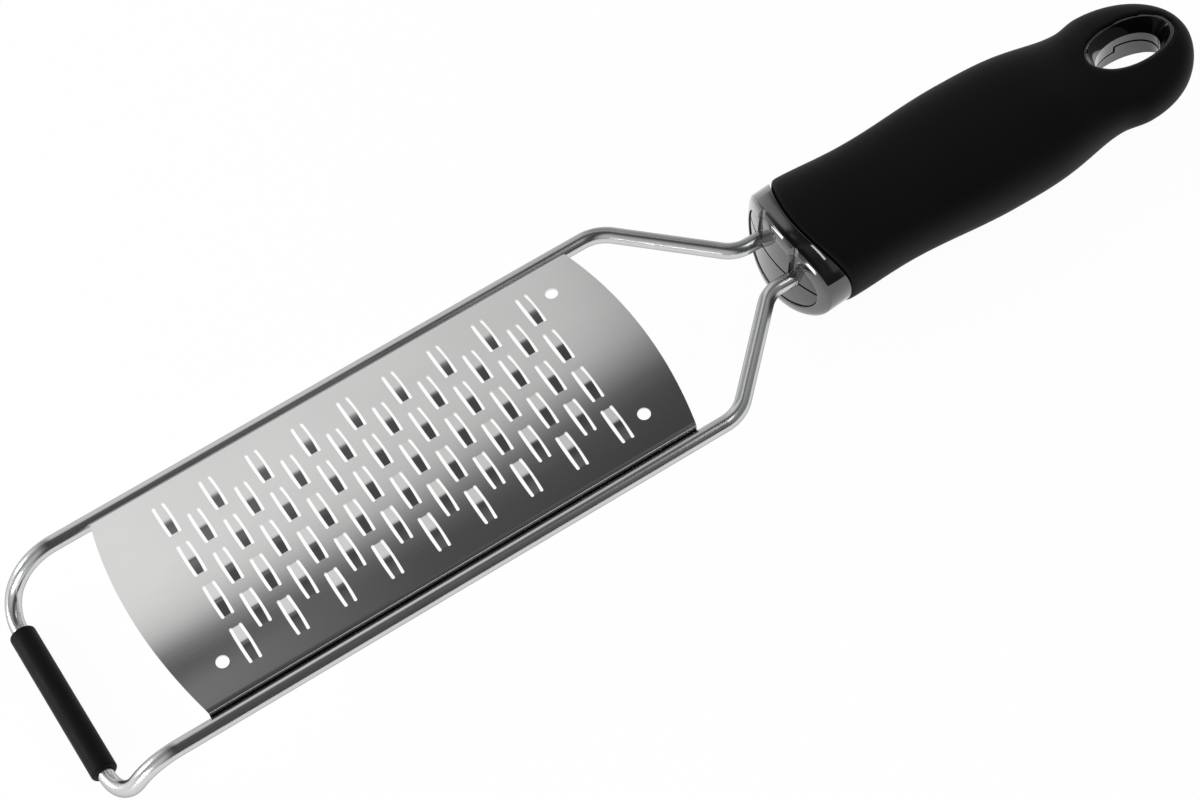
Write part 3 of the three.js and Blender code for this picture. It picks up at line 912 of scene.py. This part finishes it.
def wire_steel():
    """Satin wire."""
    # The specular tint darkens the wire's reflections at grazing angles all along it. This is partly the
    # steel's own edge tint and partly painted shade, standing in for the tool's shadow on the floor that the
    # lower rims mirror.
    material, nodes, shader = surface("wire_steel", Metallic=1.0, Specular_Tint=(0.45, 0.45, 0.46, 1))
    cloud = nodes.noise(scale=120.0, detail=3.0, stretch=(0.4, 1, 1))
    colour = nodes.tones(cloud, (0.60, 0.605, 0.61), (0.67, 0.675, 0.68))
    nodes.link(colour, shader.inputs["Base Color"])
    nodes.link(nodes.spread(cloud, low=0.20, high=0.25), shader.inputs["Roughness"])
    fine = nodes.noise(scale=900.0, detail=3.0, stretch=(0.2, 1, 1))
    nodes.link(nodes.bump(fine, distance=0.000002, strength=1.0), shader.inputs["Normal"])
    return material


def soft_touch():
    """Matt black of the grip."""
    material, nodes, shader = surface("soft_touch", Sheen_Weight=0.02, Sheen_Roughness=0.5)
    shader.inputs["Specular IOR Level"].default_value = 0.09
    cloud = nodes.noise(scale=45.0, detail=4.0)
    grit = nodes.noise(scale=5200.0, detail=2.0)
    colour = nodes.tones(cloud, (0.0052, 0.0052, 0.0053), (0.0070, 0.0070, 0.0071))
    nodes.link(colour, shader.inputs["Base Color"])
    nodes.link(nodes.spread(cloud, low=0.52, high=0.6), shader.inputs["Roughness"])
    nodes.link(nodes.bump(grit, distance=0.00002, strength=0.6), shader.inputs["Normal"])
    return material


def sleeve_rubber():
    """Matt black of the foot sleeve."""
    material, nodes, shader = surface("sleeve_rubber", Sheen_Weight=0.01, Sheen_Roughness=0.5)
    shader.inputs["Specular IOR Level"].default_value = 0.12
    cloud = nodes.noise(scale=160.0, detail=4.0)
    grit = nodes.noise(scale=3800.0, detail=2.0)
    colour = nodes.tones(cloud, (0.0065, 0.0065, 0.0066), (0.0090, 0.0090, 0.0091))
    nodes.link(colour, shader.inputs["Base Color"])
    nodes.link(nodes.spread(cloud, low=0.5, high=0.62), shader.inputs["Roughness"])
    nodes.link(nodes.bump(grit, distance=0.00003, strength=0.6), shader.inputs["Normal"])
    return material


def gloss_black(name, shine):
    """Polished black of the collar and core, with the faint flow of moulding."""
    material, nodes, shader = surface(name, Coat_Weight=1.0, Coat_Roughness=0.04)
    shader.inputs["Specular IOR Level"].default_value = shine
    cloud = nodes.noise(scale=60.0, detail=3.0)
    flow = nodes.noise(scale=130.0, detail=1.0, stretch=(0.4, 1, 1))
    colour = nodes.tones(cloud, (0.004, 0.004, 0.0045), (0.007, 0.007, 0.0075))
    nodes.link(colour, shader.inputs["Base Color"])
    nodes.link(nodes.spread(cloud, low=0.05, high=0.10), shader.inputs["Roughness"])
    nodes.link(nodes.bump(flow, distance=0.00004, strength=0.5), shader.inputs["Normal"])
    return material


# The pieces.
core_gloss = gloss_black("core_gloss", shine=0.3)
wire = tube("wire", wire_path(WIRE_STEPS), WIRE_RADIUS, WIRE_SIDES)
smooth(wire, degrees=50)
finish_piece(wire, wire_steel(), "wire_frame")
finish_piece(blade_piece(), blade_steel(), "grater_blade")
sleeve = sleeve_piece()
smooth(sleeve, degrees=50)
finish_piece(sleeve, sleeve_rubber(), "foot_sleeve")
ring = collar_piece()
smooth(ring, degrees=30)
finish_piece(ring, gloss_black("collar_gloss", shine=0.95), "collar")
core_top, core_base = core_pieces()
smooth(core_top, degrees=9)
smooth(core_base, degrees=9)
finish_piece(core_top, core_gloss, "core_upper")
finish_piece(core_base, core_gloss, "core_lower")
finish_piece(grip_piece(), soft_touch(), "soft_grip")


# Studio: a pale floor, and a room whose light runs in long bands along the tool. A set of bands gives levels
# at angles from the far horizon over the top to the near one.
NEAR_SIDE = [(94, 0.15), (116, 0.08), (150, 0.09), (160, 0.06), (180, 0.05)]
NECK_BANDS = [(0, 0.86), (42, 0.86), (58, 0.42), (96, 0.36), (114, 0.6), (150, 0.62), (180, 0.45)]
COLLAR_BANDS = [
    *[(0, 0.55), (20, 0.36), (48, 0.24), (62, 0.07)],
    *[(72, 0.03), (116, 0.03), (150, 0.06), (180, 0.05)],
]
FOOT_BANDS = [
    *[(0, 0.98), (54, 0.98), (59.4, 0.91), (63, 0.71), (66.1, 0.24)],
    *[(68.9, 0.112), (71.7, 0.25), (76, 0.25), (80, 0.09), (86, 0.085)],
    *NEAR_SIDE,
]
MIDDLE_BANDS = [
    *[(0, 0.86), (54, 0.86), (59.4, 0.78), (63, 0.64), (66.1, 0.385)],
    *[(68.9, 0.168), (71.7, 0.09), (76, 0.09), (80, 0.08), (86, 0.08)],
    *NEAR_SIDE,
]
HANDLE_BANDS = [
    *[(0, 0.74), (54, 0.74), (59.4, 0.63), (63, 0.39), (66.1, 0.165)],
    *[(68.9, 0.098), (71.7, 0.088), (76, 0.07), (86, 0.075)],
    *NEAR_SIDE,
]
BEYOND_BANDS = [
    *[(0, 0.50), (20, 0.26), (40, 0.17), (52, 0.10), (58, 0.06), (62, 0.05)],
    *[(112, 0.04), (120, 0.10), (130, 0.27), (150, 0.33), (160, 0.06), (180, 0.05)],
]
SIDE_BANDS = [(0, 0.4), (60, 0.58), (90, 0.34), (120, 0.24), (180, 0.24)]

# The room blends from set to set by how far a ray leans toward the handle. The sets at both ends show in the
# bends and the neck of the wire, the collar's on its top, and those from foot to handle along the blade.
ROOM = [
    (-0.40, NECK_BANDS),
    (-0.16, COLLAR_BANDS),
    (-0.05, COLLAR_BANDS),
    (0.03, FOOT_BANDS),
    (0.057, FOOT_BANDS),
    (0.135, MIDDLE_BANDS),
    (0.215, HANDLE_BANDS),
    (0.30, BEYOND_BANDS),
    (0.55, SIDE_BANDS),
]

# The floor: half its side and its level in metres, its own white, and the share of that white in what is seen
# of it, directly or mirrored. The rest takes the tool's shadow.
FLOOR_HALF = 6.0
FLOOR_LEVEL = -0.0001
FLOOR_WHITE = 1.04
FLOOR_SHARE = 0.93


def room():
    world = bpy.data.worlds.new("room")
    bpy.context.scene.world = world
    nodes = Nodes(world)
    place = nodes.add("ShaderNodeTexCoord")
    split = nodes.add("ShaderNodeSeparateXYZ")
    nodes.link(place.outputs["Generated"], split.inputs[0])
    angle = nodes.calculate("ARCTAN2", split.outputs["Z"], split.outputs["Y"])
    turn = nodes.calculate("DIVIDE", angle, math.pi)
    colours = []
    for _, bands in ROOM:
        colours.append(nodes.ramp(turn, [(degrees / 180, (level,) * 3) for degrees, level in bands]))
    colour = colours[0]
    leans = [lean for lean, _ in ROOM]
    for start, stop, here in zip(leans[:-1], leans[1:], colours[1:]):
        blend = nodes.add("ShaderNodeMix", data_type="RGBA")
        nodes.link(nodes.spread(split.outputs["X"], 0, 1, start, stop), blend.inputs["Factor"])
        nodes.link(colour, blend.inputs["A"])
        nodes.link(here, blend.inputs["B"])
        colour = blend.outputs["Result"]
    lit = nodes.add("ShaderNodeBackground")
    nodes.link(colour, lit.inputs["Color"])
    plain = nodes.add("ShaderNodeBackground")
    plain.inputs["Color"].default_value = (1, 1, 1, 1)
    path = nodes.add("ShaderNodeLightPath")
    mix = nodes.add("ShaderNodeMixShader")
    nodes.link(path.outputs["Is Camera Ray"], mix.inputs[0])
    nodes.link(lit.outputs[0], mix.inputs[1])
    nodes.link(plain.outputs[0], mix.inputs[2])
    output = nodes.add("ShaderNodeOutputWorld")
    nodes.link(mix.outputs[0], output.inputs["Surface"])


def floor():
    signs = [(-1, -1), (1, -1), (1, 1), (-1, 1)]
    corners = [(x * FLOOR_HALF, y * FLOOR_HALF, FLOOR_LEVEL) for x, y in signs]
    piece = new_object("floor", corners, [(0, 1, 2, 3)])
    material = bpy.data.materials.new("pale_floor")
    nodes = Nodes(material)
    paper = nodes.add("ShaderNodeBsdfDiffuse")
    paper.inputs["Color"].default_value = (0.8, 0.8, 0.8, 1)
    white = nodes.add("ShaderNodeEmission")
    white.inputs["Strength"].default_value = FLOOR_WHITE
    path = nodes.add("ShaderNodeLightPath")
    seen = nodes.calculate("MAXIMUM", path.outputs["Is Camera Ray"], path.outputs["Is Glossy Ray"])
    seen = nodes.calculate("MAXIMUM", seen, path.outputs["Is Transmission Ray"])
    mix = nodes.add("ShaderNodeMixShader")
    nodes.link(nodes.calculate("MULTIPLY", seen, FLOOR_SHARE), mix.inputs[0])
    nodes.link(paper.outputs[0], mix.inputs[1])
    nodes.link(white.outputs[0], mix.inputs[2])
    output = nodes.add("ShaderNodeOutputMaterial")
    nodes.link(mix.outputs[0], output.inputs["Surface"])
    piece.data.materials.append(material)


def softbox(name, place, target, along, length, width, power):
    """A lit panel at a place, facing a target, with its length along a direction."""
    light = bpy.data.lights.new(name, "AREA")
    light.shape = "RECTANGLE"
    light.size = width
    light.size_y = length
    light.energy = power
    lamp = bpy.data.objects.new(name, light)
    back = (Vector(place) - Vector(target)).normalized()
    side = Vector(along).cross(back).normalized()
    facing = Matrix((side, back.cross(side), back)).transposed()
    lamp.matrix_world = Matrix.Translation(place) @ facing.to_4x4()
    bpy.context.scene.collection.objects.link(lamp)


room()
floor()
softbox("left_box", (-0.95, -0.45, 0.14), (0.15, 0, 0.02), (0, 0, 1), length=0.3, width=0.3, power=2.8)
softbox("far_box", (-0.85, 0.5, 0.32), (0.03, 0, 0.02), (0, 0, 1), length=0.3, width=0.3, power=2.8)
softbox("key_box", (0.31, -0.27, 0.84), (0.03, 0, 0.02), (0, 1, 0.325), length=0.45, width=0.05, power=0.36)


# Camera: where the photograph was taken from.
CAMERA_PLACE = (-0.168752, -0.357093, 0.622000)
CAMERA_AXES = (
    (0.843502, 0.493198, -0.212743),
    (-0.529270, 0.695702, -0.485667),
    (-0.091524, 0.522260, 0.847861),
)
camera = bpy.data.objects.new("camera", bpy.data.cameras.new("camera"))
camera.data.lens = 91.666
camera.data.sensor_width = 36
camera.data.clip_start = 0.01
camera.data.clip_end = 50
camera.matrix_world = Matrix.Translation(CAMERA_PLACE) @ Matrix(CAMERA_AXES).to_4x4()
bpy.context.scene.collection.objects.link(camera)
bpy.context.scene.camera = camera
bpy.context.scene.view_settings.view_transform = "Standard"
